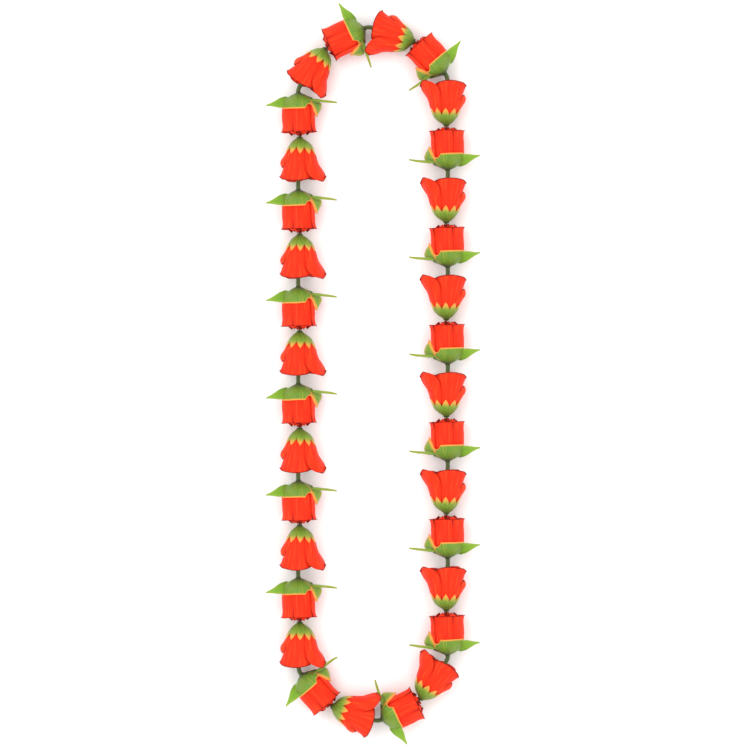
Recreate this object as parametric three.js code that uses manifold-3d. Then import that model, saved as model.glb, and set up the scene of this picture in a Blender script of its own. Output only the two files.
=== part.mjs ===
// A neck garland of red roses: rosebuds and open roses threaded by turns on one knotted string.
// Millimetres, +Z up. It lies flat as a long loop whose long way runs along Y, with the origin
// under its middle. Every bloom is modelled once in its own frame and then set on the string.
import * as THREE from 'three';
import { mergeVertices } from 'three/addons/utils/BufferGeometryUtils.js';
import Module from 'manifold-3d';

const wasm = await Module();
wasm.setup();

// The loop: a bud and an open rose take turns, and sixteen pairs make 1016 mm (40 inches) of string
const PAIRS = 16;
const BUD_LENGTH = 25.8;
const STEM_LENGTH = 5.9;
const ROSE_LENGTH = 28.6;
const STRING_GAP = 3.2;
// Headings in degrees, clockwise from +Y, of the four blooms that turn each end of the loop
const END_HEADINGS = [33, 66, 107, 140];
const STRING_HEIGHT = 11.2;

const STRING_RADIUS = 0.65;
const STRING_SIDES = 8;
const BORE_RADIUS = 1.25;
const STEM_RADIUS = 1.85;
const KNOT_RADIUS = 1.3;
const KNOT_FROM_TIP = 24.4;
const SLIGHTEST_BEND = 0.005;

// Rose petals and sepals grow in fives; a bloom's own corners lie between them
const WHORL = 5;
const FIRST_PETAL = 36;
const PETAL_THICKNESS = 0.7;
const SEPAL_THICKNESS = 0.7;
// Points nearer to each other than this are one corner
const WELD = 1e-4;

const PETAL_RED = '#f23a22';
const LEAF_GREEN = '#7ba83a';
const STRING_BROWN = '#6b2a1c';
const ROUGHNESS = 0.6;

const radians = THREE.MathUtils.degToRad;

// A bloom's own frame: s runs along its axis from the calyx tip (0) to the mouth, u points to the
// inside of the loop and v points up. Azimuth turns from u to v.
const polar = (azimuth, r, s) =>
  new THREE.Vector3(r * Math.cos(radians(azimuth)), r * Math.sin(radians(azimuth)), s);

function solid(geometry) {
  const bare = geometry.clone();
  bare.deleteAttribute('normal');
  bare.deleteAttribute('uv');
  const merged = mergeVertices(bare, WELD);
  const corners = Array.from(merged.index.array);
  const positions = merged.attributes.position;
  const faces = [];
  let volume = 0;
  for (let i = 0; i < corners.length; i += 3) {
    const [a, b, c] = corners.slice(i, i + 3);
    if (a === b || b === c || c === a) continue;
    faces.push([a, b, c]);
    const [p, q, r] = [a, b, c].map((n) => new THREE.Vector3().fromBufferAttribute(positions, n));
    volume += p.dot(q.cross(r));
  }
  const outward = volume > 0 ? faces : faces.map(([a, b, c]) => [a, c, b]);
  return new wasm.Manifold(new wasm.Mesh({
    numProp: 3,
    vertProperties: Float32Array.from(positions.array),
    triVerts: Uint32Array.from(outward.flat()),
  }));
}

function geometryOf(manifold) {
  const mesh = manifold.getMesh();
  const geometry = new THREE.BufferGeometry();
  geometry.setAttribute('position', new THREE.BufferAttribute(mesh.vertProperties, 3));
  geometry.setIndex(new THREE.BufferAttribute(mesh.triVerts, 1));
  geometry.computeVertexNormals();
  return geometry;
}

// The skin of a solid, gathered band by band; it closes because neighbouring bands share their points
class Skin {
  corners = [];

  face(...points) {
    this.corners.push(...points);
  }

  // A band between two rows of points. It faces out when the rows run anticlockwise and rise; the
  // diagonals stay the same when it faces in, so both faces of a thin blade are split alike.
  band(low, high, facesIn = false) {
    for (let n = 0; n + 1 < low.length; n++) {
      const [a, b, c, d] = [low[n], low[n + 1], high[n + 1], high[n]];
      if (facesIn) this.face(a, c, b, a, d, c);
      else this.face(a, b, c, a, c, d);
    }
  }

  // A band from a ring to one with twice as many points
  doublingBand(few, many, facesIn = false) {
    for (let n = 0; n + 1 < few.length; n++) {
      const [a, b] = [few[n], few[n + 1]];
      const [d, m, c] = [many[2 * n], many[2 * n + 1], many[2 * n + 2]];
      if (facesIn) this.face(a, m, b, a, d, m, b, m, c);
      else this.face(a, b, m, a, m, d, b, c, m);
    }
  }

  // A blade grows from its root, an open place in the skin, through sections to a closed tip
  blade(sections) {
    for (let n = 0; n + 1 < sections.length; n++) {
      const [low, high] = [sections[n], sections[n + 1]];
      const last = low.outer.length - 1;
      this.band(low.outer, high.outer);
      this.band(low.inner, high.inner, true);
      this.band([low.inner[0], low.outer[0]], [high.inner[0], high.outer[0]]);
      this.band([low.outer[last], low.inner[last]], [high.outer[last], high.inner[last]]);
    }
    const tip = sections.at(-1);
    this.band(tip.outer, tip.inner);
  }

  solid() {
    const geometry = new THREE.BufferGeometry();
    const numbers = this.corners.flatMap((point) => point.toArray());
    geometry.setAttribute('position', new THREE.Float32BufferAttribute(numbers, 3));
    return solid(geometry);
  }
}

// A closed ring of points about the bloom's axis; the first point comes again at the end
function ring(count, r, s, start = 0) {
  return Array.from({ length: count + 1 }, (_, n) => polar(start + (n % count) * 360 / count, r, s));
}

// Gives a grid of points, rows from root to tip, an even thickness
function thicken(grid, thickness) {
  const last = grid[0].length - 1;
  const step = (from, to) => new THREE.Vector3().subVectors(to, from);
  const normal = (j, i) => {
    const across = step(grid[j][Math.max(i - 1, 0)], grid[j][Math.min(i + 1, last)]);
    const along = step(grid[Math.max(j - 1, 0)][i], grid[Math.min(j + 1, grid.length - 1)][i]);
    return across.cross(along).normalize();
  };
  const side = (sign) => grid.map((row, j) => row.map((point, i) =>
    point.clone().addScaledVector(normal(j, i), sign * thickness / 2)));
  const [outer, inner] = [side(1), side(-1)];
  return grid.map((_, j) => ({ outer: outer[j], inner: inner[j] }));
}

// The sections of a blade: the root takes its points from the skin, the rest follow the grid
function grown(root, rows, thickness) {
  const middle = root.outer.map((point, n) => point.clone().lerp(root.inner[n], 0.5));
  return [root, ...thicken([middle, ...rows], thickness).slice(1)];
}

// A petal wraps round the bloom's axis. Each row gives its height s, radius r and half its width in
// degrees. lean lifts one edge and sinks the other, so that neighbours lap; crown raises the middle.
function petalRows(azimuth, columns, rows) {
  return rows.map(({ s, r, span, lean = 0, crown = 0, swing = 0 }) => columns.map((side) =>
    polar(azimuth + swing + side * span, r + side * lean, s + (1 - Math.abs(side)) * crown)));
}

// A sepal reaches out along rows of radius r, height s and width; twist turns its face about its length
function sepalRows(azimuth, rows) {
  return rows.map(({ r, s, width, twist = 0, swing = 0 }) => {
    const middle = polar(azimuth + swing, r, s);
    const reach = polar(azimuth + swing + 90, Math.cos(radians(twist)), Math.sin(radians(twist)));
    return [-1, 1].map((side) => middle.clone().addScaledVector(reach, side * width / 2));
  });
}

// A straight-sided line through given points; an extrusion along it has one section at each point
class JointedLine extends THREE.Curve {
  constructor(points) {
    super();
    this.points = points;
  }

  getPoint(t, target = new THREE.Vector3()) {
    return target.copy(this.points[Math.round(t * (this.points.length - 1))]);
  }

  getPointAt(t, target) {
    return this.getPoint(t, target);
  }

  getTangentAt(t, target = new THREE.Vector3()) {
    const last = this.points.length - 1;
    const here = Math.round(t * last);
    const side = (a, b) => new THREE.Vector3().subVectors(this.points[b], this.points[a]).normalize();
    const before = side(Math.max(here - 1, 0), Math.max(here, 1));
    const after = side(Math.min(here, last - 1), Math.min(here + 1, last));
    return target.copy(before.add(after).normalize());
  }
}

function tube(points, radius, sides) {
  const angle = (n) => 2 * Math.PI * n / sides;
  const corners = Array.from({ length: sides }, (_, n) =>
    new THREE.Vector2(radius * Math.cos(angle(n)), radius * Math.sin(angle(n))));
  return solid(new THREE.ExtrudeGeometry(new THREE.Shape(corners),
    { steps: points.length - 1, bevelEnabled: false, extrudePath: new JointedLine(points) }));
}

// Nothing of a bloom reaches below the surface: its lowest petals get small flat spots there
function restedFlat(bloom) {
  const side = 3 * ROSE_LENGTH;
  const ground = new THREE.BoxGeometry(side, side, side).translate(0, -STRING_HEIGHT - side / 2, 0);
  return bloom.subtract(solid(ground));
}

// The red part of a bloom. Five outer petals grow from a collar, five inner ones from the foot of a
// hollow heart, and the string or the stem runs through the bore of the heart.
function petals({ collar, heart, bore, outer, inner }) {
  const skin = new Skin();
  const [collarLow, collarHigh] = collar.map(([r, s]) => ring(2 * WHORL, r, s));
  const [footLow, footHigh, top] = heart.map(([r, s]) => ring(WHORL, r, s));
  const [boreLow, boreHigh] = bore.map(([r, s]) => ring(WHORL, r, s));
  skin.doublingBand(boreLow, collarLow);
  skin.doublingBand(footLow, collarHigh, true);
  for (let n = 0; n < WHORL; n++) {
    const azimuth = FIRST_PETAL + n * 360 / WHORL;
    const collarPart = (points) => points.slice(2 * n, 2 * n + 3);
    const collarRoot = { outer: collarPart(collarLow), inner: collarPart(collarHigh) };
    const footPart = (points) => points.slice(n, n + 2);
    const footRoot = { outer: footPart(footLow), inner: footPart(footHigh) };
    skin.blade(grown(collarRoot, petalRows(azimuth, [-1, 0, 1], outer[n]), PETAL_THICKNESS));
    skin.blade(grown(footRoot, petalRows(azimuth, [-1, 1], inner[n]), PETAL_THICKNESS));
  }
  skin.band(footHigh, top);
  skin.band(top, boreHigh);
  skin.band(boreHigh, boreLow);
  return restedFlat(skin.solid());
}

// Rosebud: its outer petals stand like the staves of a barrel with a turned-out lip
function budPetals() {
  const stave = [
    { s: 8.2, r: 9.1, span: 34, lean: 0.5 },
    { s: 22.6, r: 9.7, span: 39, lean: 0.7 },
    { s: 25.5, r: 10.7, span: 38, lean: 0.6, crown: 0.3 },
  ];
  const rolled = (s) => [{ s, r: 6.0, span: 33, lean: 0.5 }];
  return petals({
    collar: [[4.6, 3.8], [4.4, 5.6]],
    heart: [[3.6, 5.8], [3.4, 7.8], [2.9, 27.2]],
    bore: [[BORE_RADIUS, 3.8], [2.15, 27.2]],
    outer: Array(WHORL).fill(stave),
    inner: [26.6, 27.4, 26.2, 27.2, 26.8].map(rolled),
  });
}

// Open rose: three tall petals, a lobe that hangs out over the inner side of the loop, and on the
// outer side a short folded petal with its neighbours lapping behind it
function rosePetals() {
  const base = { s: 10.4, r: 6.9, span: 34, lean: 0.35 };
  const tall = (swing, span) => [
    base,
    { s: 19.0, r: 9.6, span: 38, lean: 0.6, swing: swing / 3 },
    { s: 26.6, r: 11.4, span, lean: 0.6, swing, crown: 1.4 },
  ];
  const lobe = [
    { ...base, span: 32, lean: 0, r: 7.1 },
    { s: 15.4, r: 11.3, span: 33 },
    { s: 25.2, r: 17.0, span: 21, lean: 0.4, crown: 3.0 },
  ];
  const folded = [
    base,
    { s: 14.6, r: 9.6, span: 33, lean: 0.2 },
    { s: 18.2, r: 11.2, span: 30, crown: 0.6 },
  ];
  const cupped = (s) => [{ s: 17, r: 5.6, span: 31, lean: 0.4 }, { s, r: 6.8, span: 32, lean: 0.5 }];
  return petals({
    collar: [[5.9, 5.3], [5.2, 7.4]],
    heart: [[4.2, 7.6], [3.8, 9.8], [3.1, 17.5]],
    bore: [[2.3, 5.3], [2.3, 17.5]],
    outer: [lobe, tall(8, 42), folded, tall(-8, 42), tall(-3, 37)],
    inner: [25.2, 26.2, 25.6, 26.4, 25.4].map(cupped),
  });
}

// The green of a pair is one body: the bud's calyx, its stem stub, which is pushed through the heart
// of the open rose behind it, and that rose's calyx. The string runs through a bore down its middle.
function pairGreen(bend) {
  const skin = new Skin();
  const along = (degrees) => new THREE.Vector3(Math.sin(radians(degrees)), 0, -Math.cos(radians(degrees)));
  const roseTip = along(bend / 2).multiplyScalar(STEM_LENGTH).addScaledVector(along(bend), ROSE_LENGTH);
  const intoRose = new THREE.Matrix4().makeRotationY(-radians(bend)).setPosition(roseTip);
  const roseRing = (...size) => ring(...size).map((point) => point.applyMatrix4(intoRose));

  const cupFloor = 4.9;
  const stem = [
    roseRing(WHORL, STEM_RADIUS, cupFloor),
    roseRing(WHORL, STEM_RADIUS, ROSE_LENGTH),
    ring(WHORL, STEM_RADIUS, 0),
  ];
  const hipTop = 3.4;
  const bore = [
    ring(WHORL, BORE_RADIUS, hipTop),
    ring(WHORL, BORE_RADIUS, 0),
    roseRing(WHORL, BORE_RADIUS, ROSE_LENGTH),
    roseRing(WHORL, BORE_RADIUS, 0),
  ];
  for (let n = 0; n + 1 < stem.length; n++) skin.band(stem[n], stem[n + 1]);
  for (let n = 0; n + 1 < bore.length; n++) skin.band(bore[n], bore[n + 1]);

  roseCup(skin, roseRing, cupFloor, stem[0], bore.at(-1));
  budHip(skin, hipTop, stem.at(-1), bore[0]);
  return skin.solid();
}

// The open rose's calyx: a cup with short pointed teeth laid on the petals, and a solid floor
function roseCup(skin, roseRing, floorHeight, stem, boreEnd) {
  const teeth = 2 * WHORL;
  const neck = roseRing(WHORL, STEM_RADIUS, 0);
  const shoulder = roseRing(teeth, 5.2, 1.6);
  const notch = roseRing(teeth, 8.3, 6.0);
  const notchIn = roseRing(teeth, 7.6, 6.2);
  const halfTooth = 180 / teeth;
  const tip = roseRing(teeth, 9.1, 10.4, halfTooth);
  const tipIn = roseRing(teeth, 8.4, 10.4, halfTooth);
  const floor = roseRing(teeth, 6.9, floorHeight);
  skin.band(boreEnd, neck);
  skin.doublingBand(neck, shoulder);
  skin.band(shoulder, notch);
  for (let n = 0; n < teeth; n++) {
    skin.face(notch[n], notch[n + 1], tip[n]);
    skin.face(notchIn[n + 1], notchIn[n], tipIn[n]);
    skin.band([notchIn[n], notch[n]], [tipIn[n], tip[n]]);
    skin.band([notch[n + 1], notchIn[n + 1]], [tip[n], tipIn[n]]);
  }
  skin.band(notchIn, floor);
  skin.doublingBand(stem, floor, true);
}

// The bud's calyx: a small hip with five long sepals, some spread wide and some laid on the petals
function budHip(skin, hipTop, stem, boreEnd) {
  const thin = [
    { r: 12.0, s: 4.9, width: 3.4, swing: -30 },
    { r: 25.6, s: 7.3, width: 0.9, swing: -33 },
  ];
  const front = [
    { r: 11.4, s: 6.4, width: 13.4, swing: -14 },
    { r: 11.8, s: 11.8, width: 8.0, swing: -14 },
  ];
  const broad = [
    { r: 13.4, s: 6.8, width: 7.4, twist: -60, swing: -24 },
    { r: 24.4, s: 9.9, width: 0.9, twist: -60, swing: -30 },
  ];
  const under = [
    { r: 11.3, s: 6.4, width: 4.4, swing: -16 },
    { r: 11.5, s: 14.6, width: 1.2, swing: -16 },
  ];
  const curled = [
    { r: 13.2, s: 7.4, width: 6.0 },
    { r: 13.6, s: 15.6, width: 1.6, swing: 2 },
  ];
  const low = ring(WHORL, 5.4, 2.1);
  const high = ring(WHORL, 5.2, hipTop);
  skin.band(stem, low);
  [thin, front, broad, under, curled].forEach((rows, n) => {
    const root = { outer: low.slice(n, n + 2), inner: high.slice(n, n + 2) };
    skin.blade(grown(root, sepalRows(FIRST_PETAL + n * 360 / WHORL, rows), SEPAL_THICKNESS));
  });
  skin.band(high, boreEnd);
}

// Where each bloom stands: headings repeat after half the loop, turned by 180 degrees
function bloomPlaces() {
  const half = [...END_HEADINGS];
  while (half.length < PAIRS) half.push(180);
  const headings = [...half, ...half.map((h) => h + 180), half[0] + 360];
  const along = (degrees) => new THREE.Vector3(Math.sin(radians(degrees)), Math.cos(radians(degrees)), 0);
  const places = [];
  const at = new THREE.Vector3();
  for (let n = 0; n < 2 * PAIRS; n++) {
    const isRose = n % 2 === 0;
    const mouth = at.clone();
    const tip = at.addScaledVector(along(headings[n]), isRose ? ROSE_LENGTH : BUD_LENGTH).clone();
    const turn = (headings[n] + headings[n + 1]) / 2;
    at.addScaledVector(along(turn), isRose ? STRING_GAP : STEM_LENGTH);
    places.push({ heading: headings[n], mouth, tip, bend: headings[n + 1] - headings[n] });
  }
  const centre = places[PAIRS].mouth.clone().multiplyScalar(0.5);
  const lifted = (point) => point.sub(centre).setZ(STRING_HEIGHT);
  places.forEach(({ mouth, tip }) => [mouth, tip].forEach(lifted));
  return places;
}

// The string goes in at the knot in the first bud's mouth, bends only between blooms, and comes back
function stringLoop(places) {
  const [first, ...rest] = [...places.slice(1), places[0]];
  const knot = first.tip.clone().lerp(first.mouth, KNOT_FROM_TIP / BUD_LENGTH);
  const endInKnot = 0.4;
  const aside = first.mouth.clone().sub(first.tip).setLength(endInKnot);
  const points = [knot.clone().sub(aside), first.tip];
  for (const { mouth, tip } of rest) points.push(mouth, tip);
  points.push(first.mouth, knot.clone().add(aside));
  const bendsAt = (n) => {
    const before = points[n].clone().sub(points[n - 1]);
    const after = points[n + 1].clone().sub(points[n]);
    return before.angleTo(after) > SLIGHTEST_BEND;
  };
  const bends = points.filter((_, n) => n === 0 || n === points.length - 1 || bendsAt(n));
  const ball = new THREE.IcosahedronGeometry(KNOT_RADIUS, 0).translate(...knot.toArray());
  return tube(bends, STRING_RADIUS, STRING_SIDES).add(solid(ball));
}

const matt = (color) => new THREE.MeshStandardMaterial({ color, roughness: ROUGHNESS, metalness: 0 });
const petalRed = matt(PETAL_RED);
const leafGreen = matt(LEAF_GREEN);
const stringBrown = matt(STRING_BROWN);

function node(name, geometry, material) {
  const mesh = new THREE.Mesh(geometry, material);
  mesh.name = name;
  return mesh;
}

// Stands a bloom's mesh on the string: v goes up, then the whole turns to the bloom's heading
function stand(mesh, { heading, tip }) {
  mesh.rotation.set(Math.PI / 2, 0, -radians(heading), 'ZXY');
  mesh.position.copy(tip);
  return mesh;
}

const lei = new THREE.Group();
const places = bloomPlaces();
const budShape = geometryOf(budPetals());
const roseShape = geometryOf(rosePetals());
for (let pair = 0; pair < PAIRS; pair++) {
  const bud = places[2 * pair + 1];
  const rose = places[(2 * pair + 2) % places.length];
  const number = String(pair + 1).padStart(2, '0');
  lei.add(stand(node(`bud_petals_${number}`, budShape, petalRed), bud));
  lei.add(stand(node(`rose_petals_${number}`, roseShape, petalRed), rose));
  lei.add(stand(node(`stem_and_calyxes_${number}`, geometryOf(pairGreen(bud.bend)), leafGreen), bud));
}
lei.add(node('string', geometryOf(stringLoop(places)), stringBrown));

export default lei;
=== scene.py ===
# %% [markdown]
# # A lei of red roses
# Rosebuds and open roses are threaded by turns on one knotted string. The frame's solids give each bloom's
# place and main shape. Here each of them gets finer petals, sepals and string, grown by the same rules, in the
# same place. A bloom is grown once in its own frame and then threaded on the string sixteen times, with small
# changes from one to the next, as no two blooms on a real lei are alike. Lengths are in millimetres, and times
# MM in metres, which Blender takes.

# %% Load the fixed frame
import math

import bpy
import numpy as np
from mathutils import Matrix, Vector


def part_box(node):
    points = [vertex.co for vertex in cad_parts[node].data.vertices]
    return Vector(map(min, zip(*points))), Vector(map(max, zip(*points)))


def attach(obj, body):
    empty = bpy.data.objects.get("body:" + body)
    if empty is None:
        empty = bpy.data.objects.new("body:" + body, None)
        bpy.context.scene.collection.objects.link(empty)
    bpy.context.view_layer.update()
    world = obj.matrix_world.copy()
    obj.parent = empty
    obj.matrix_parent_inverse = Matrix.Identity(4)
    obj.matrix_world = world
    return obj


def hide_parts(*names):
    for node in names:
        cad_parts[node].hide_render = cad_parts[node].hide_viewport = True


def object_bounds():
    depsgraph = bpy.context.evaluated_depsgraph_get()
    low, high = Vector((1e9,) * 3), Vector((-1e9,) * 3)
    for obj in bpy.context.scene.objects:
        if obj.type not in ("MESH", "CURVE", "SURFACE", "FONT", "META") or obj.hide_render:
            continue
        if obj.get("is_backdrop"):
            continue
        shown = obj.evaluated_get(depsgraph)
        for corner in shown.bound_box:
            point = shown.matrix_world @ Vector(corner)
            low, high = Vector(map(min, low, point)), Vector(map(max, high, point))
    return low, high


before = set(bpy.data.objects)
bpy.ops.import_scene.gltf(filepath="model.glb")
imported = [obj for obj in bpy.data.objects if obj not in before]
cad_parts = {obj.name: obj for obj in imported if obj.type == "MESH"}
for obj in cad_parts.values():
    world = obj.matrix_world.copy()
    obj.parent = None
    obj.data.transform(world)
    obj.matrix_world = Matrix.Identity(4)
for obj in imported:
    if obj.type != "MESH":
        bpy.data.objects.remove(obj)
cad_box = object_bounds()
print("CAD box", [tuple(round(x, 4) for x in corner) for corner in cad_box])

# %% [markdown]
# ## Where the blooms stand
# On a real lei every bloom faces the same way along its string, so a bloom's place is a point and a heading.
# The places could be read off the solids' boxes, but a box says nothing about the heading. So the part's own
# threading rule is repeated: sixteen pairs, and at each end of the loop four blooms that turn it round. Pulled
# tight, the string stands a little nearer the inside of the loop between a bud and the rose before it than in
# the stems, so that the blooms lean to and fro by two degrees.

# %% Thread the places
MM = 0.001
PAIRS = 16
BUD_LENGTH = 25.8
STEM_LENGTH = 5.9
ROSE_LENGTH = 28.6
STRING_GAP = 3.2
END_HEADINGS = [33, 66, 107, 140]
STRING_HEIGHT = 11.2
STRING_INSET = 0.9


def forward(heading):
    return Vector((math.sin(math.radians(heading)), math.cos(math.radians(heading)), 0))


def threaded_places():
    """Each bloom's heading, and its mouth and calyx tip in metres, in the order of the string."""
    half = END_HEADINGS + [180] * (PAIRS - len(END_HEADINGS))
    headings = half + [heading + 180 for heading in half] + [half[0] + 360]
    at = Vector((0, 0, 0))
    found = []
    for n in range(2 * PAIRS):
        is_rose = n % 2 == 0
        mouth = at.copy()
        tip = mouth + forward(headings[n]) * (ROSE_LENGTH if is_rose else BUD_LENGTH)
        turned = (headings[n] + headings[n + 1]) / 2
        at = tip + forward(turned) * (STRING_GAP if is_rose else STEM_LENGTH)
        found.append({"heading": headings[n], "mouth": mouth, "tip": tip})
    centre = found[PAIRS]["mouth"] / 2 - Vector((0, 0, STRING_HEIGHT))
    for rose, bud in zip(found[::2], found[1::2]):
        inset = forward((rose["heading"] + bud["heading"]) / 2 + 90) * STRING_INSET
        rose["tip"] = rose["tip"] + inset
        bud["mouth"] = bud["mouth"] + inset
    for place in found:
        run = place["tip"] - place["mouth"]
        place["heading"] = math.degrees(math.atan2(run.x, run.y))
        for end in ("mouth", "tip"):
            place[end] = (place[end] - centre) * MM
    return found


places = threaded_places()
for pair in (0, 7):
    low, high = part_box(f"bud_petals_{pair + 1:02d}")
    bud = places[2 * pair + 1]
    off = (bud["tip"] + bud["mouth"]) / 2 - (low + high) / 2
    print("bud", pair + 1, "is threaded", round(off.length / MM, 1), "mm from its solid's middle")

# %% [markdown]
# ## Sheets from rows of points
# A petal is a thin curved sheet. It could be sculpted, but its shape follows from a few numbers: how high and
# how far out each row of it stands, and how far round the bloom it reaches. A smooth curve is drawn through
# those numbers, and the sheet's points follow. Two attributes go with them for the finish: how far a point is
# from the sheet's edge in millimetres, and how far along the sheet it is.


# %% Make a sheet
EDGE_CROWDING = 0.25
TIP_CROWDING = 1.3


def through(knots, values, at):
    """A smooth curve through the values at the knots, read at the points asked for."""
    knots, values = np.asarray(knots, float), np.asarray(values, float)
    slopes = np.gradient(values, knots)
    n = np.clip(np.searchsorted(knots, at) - 1, 0, len(knots) - 2)
    step = knots[n + 1] - knots[n]
    x = (at - knots[n]) / step
    rise = (1 - x) ** 2 * ((1 + 2 * x) * values[n] + x * step * slopes[n])
    return rise + x**2 * ((3 - 2 * x) * values[n + 1] + (x - 1) * step * slopes[n + 1])


def polar(azimuth, r, s):
    """Points in a bloom's own frame: s runs from calyx tip to mouth, azimuth turns from its x to its y."""
    turn = np.radians(azimuth)
    return np.stack(np.broadcast_arrays(r * np.cos(turn), r * np.sin(turn), s), axis=-1)


def columns_across(count):
    """Places from -1 to 1 across a sheet, closer together near its edges, where the outline turns."""
    even = np.linspace(-1, 1, count)[None, :]
    return even * (1 + EDGE_CROWDING - EDGE_CROWDING * even**2)


def store(mesh, label, values):
    """Keeps a number for each point of the mesh, for a finish or a tree to read."""
    stored = mesh.attributes.new(label, "FLOAT", "POINT")
    stored.data.foreach_set("value", np.broadcast_to(values, len(mesh.vertices)).astype(np.float32))


def sheet(name, grid, edge_mm, along):
    """A mesh with one point for each point of the grid, in millimetres; its rows run from root to tip."""
    rows, columns = grid.shape[:2]
    first = [j * columns + i for j in range(rows - 1) for i in range(columns - 1)]
    faces = [(n, n + 1, n + columns + 1, n + columns) for n in first]
    mesh = bpy.data.meshes.new(name)
    mesh.from_pydata((grid.reshape(-1, 3) * MM).tolist(), [], faces)
    along = np.broadcast_to(along, (rows, columns)).ravel()
    store(mesh, "edge_mm", edge_mm.ravel())
    store(mesh, "along", along)
    across = np.broadcast_to((columns_across(columns) + 1) / 2, (rows, columns)).ravel()
    corners = np.array(faces).ravel()
    grain = np.column_stack([across[corners], along[corners]])
    mesh.uv_layers.new(name="grain").data.foreach_set("uv", grain.ravel())
    mesh.shade_smooth()
    return mesh


def row_curves(rows, keys, up):
    """The sheet's length, the places along it, closer near its tip, and a curve through each key's values."""
    values = {key: np.array([row.get(key, 0.0) for row in rows]) for key in keys}
    knots = np.concatenate([[0], np.cumsum(np.hypot(np.diff(values["s"]), np.diff(values["r"])))])
    along = 1 - (1 - np.linspace(0, 1, up)) ** TIP_CROWDING
    curves = [through(knots, values[key], along * knots[-1])[:, None] for key in keys]
    return knots[-1], along[:, None], curves


# %% [markdown]
# ## Shaders and node trees, built in the script
# Both the finishes and the geometry trees are made of nodes. One short helper adds a node, sets its settings
# and joins or sets its inputs, so that the trees below read as lists of steps.


# %% Helpers for nodes
def add(tree, kind, inputs=None, **settings):
    """Adds a node; an input takes another node's socket or a plain value."""
    node = tree.nodes.new(kind)
    for key, value in settings.items():
        setattr(node, key, value)
    for key, value in (inputs or {}).items():
        if isinstance(value, bpy.types.NodeSocket):
            tree.links.new(value, node.inputs[key])
        else:
            node.inputs[key].default_value = value
    return node


def maths(tree, operation, a, b=0.0):
    return add(tree, "ShaderNodeMath", {0: a, 1: b}, operation=operation).outputs[0]


def vector_maths(tree, operation, a, b):
    """As maths, for vectors; to scale one, b is the number to scale it by."""
    second = "Scale" if operation == "SCALE" else 1
    return add(tree, "ShaderNodeVectorMath", {0: a, second: b}, operation=operation).outputs[0]


def vector(tree, **axes):
    return add(tree, "ShaderNodeCombineXYZ", axes).outputs[0]


def noise(tree, place, detail):
    return add(tree, "ShaderNodeTexNoise", {"Vector": place, "Scale": 1.0, "Detail": detail}).outputs


def marked(tree, geometry, name, value, domain="POINT"):
    """Keeps a number on the geometry, for the finish to read."""
    inputs = {"Geometry": geometry, "Name": name, "Value": value}
    return add(tree, "GeometryNodeStoreNamedAttribute", inputs, data_type="FLOAT", domain=domain).outputs[0]


def new_tree(name, **sizes):
    """A geometry tree with an input for each size; gives the tree and its first node's outputs."""
    tree = bpy.data.node_groups.new(name, "GeometryNodeTree")
    for key, kind in {"geometry": "Geometry", **sizes}.items():
        label = key.replace("_", " ").capitalize()
        tree.interface.new_socket(label, in_out="INPUT", socket_type="NodeSocket" + kind)
    tree.interface.new_socket("Geometry", in_out="OUTPUT", socket_type="NodeSocketGeometry")
    return tree, tree.nodes.new("NodeGroupInput").outputs


def close_tree(tree, geometry, finish):
    """Every tree ends the same way: instances made real, the finish set."""
    real = add(tree, "GeometryNodeRealizeInstances", {"Geometry": geometry})
    finished = add(tree, "GeometryNodeSetMaterial", {"Geometry": real.outputs[0], "Material": finish})
    add(tree, "NodeGroupOutput", {"Geometry": finished.outputs[0]})
    print("tree", tree.name, "has", len(tree.nodes), "nodes")
    return tree


def set_tree(thing, tree, **sizes):
    """Puts the tree on an object and sets its inputs by their sockets' identifiers."""
    modifier = thing.modifiers.new(tree.name, "NODES")
    modifier.node_group = tree
    for socket in tree.interface.items_tree:
        label = socket.name.replace(" ", "_").lower()
        if socket.in_out == "INPUT" and label in sizes:
            modifier[socket.identifier] = sizes[label]


def linked(name, data):
    thing = bpy.data.objects.new(name, data)
    bpy.context.scene.collection.objects.link(thing)
    return thing


def made_plain(thing):
    """Turns what the modifiers make into the object's own mesh, and takes the modifiers off."""
    graph = bpy.context.evaluated_depsgraph_get()
    shown = thing.evaluated_get(graph)
    made = bpy.data.meshes.new_from_object(shown, preserve_all_data_layers=True, depsgraph=graph)
    thing.modifiers.clear()
    thing.data = made
    return thing


def joined(name, things):
    """Joins the things into the first of them, under a new name."""
    if len(things) > 1:
        with bpy.context.temp_override(active_object=things[0], selected_editable_objects=things):
            bpy.ops.object.join()
    things[0].name = things[0].data.name = name
    return things[0]


# %% [markdown]
# ## The finish of the petals
# A rose petal is a soft, slightly velvety skin: orange-red, with faint lighter streaks that run up it, a darker
# crimson rim, and a little gloss. Light also passes into it. The rim comes from each point's distance to the
# petal's edge, the streaks and veins from noise on the petal's own map, so that they follow every bend.


# %% Petal finish
def new_finish(name, **values):
    material = bpy.data.materials.new(name)
    material.use_nodes = True
    shader = material.node_tree.nodes["Principled BSDF"]
    for key, value in values.items():
        shader.inputs[key.replace("_", " ")].default_value = value
    return material, material.node_tree


def close_finish(material, colour, relief=None, depth=0.0):
    """Every finish ends the same way: its colour joined, and its relief, if any, raised in millimetres."""
    tree = material.node_tree
    shader = tree.nodes["Principled BSDF"]
    tree.links.new(colour, shader.inputs["Base Color"])
    if relief:
        bump = add(tree, "ShaderNodeBump", {"Height": relief, "Distance": depth * MM, "Strength": 0.6})
        tree.links.new(bump.outputs[0], shader.inputs["Normal"])
    return material


def attribute(tree, name):
    return add(tree, "ShaderNodeAttribute", attribute_name=name).outputs["Fac"]


def ramped(tree, value, low, high, top=1.0, bottom=0.0):
    """The bottom share where the value is at low, the top share where it is at high, smooth between."""
    ends = {"Value": value, "From Min": low, "From Max": high, "To Min": bottom, "To Max": top}
    return add(tree, "ShaderNodeMapRange", ends, interpolation_type="SMOOTHSTEP").outputs["Result"]


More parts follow.
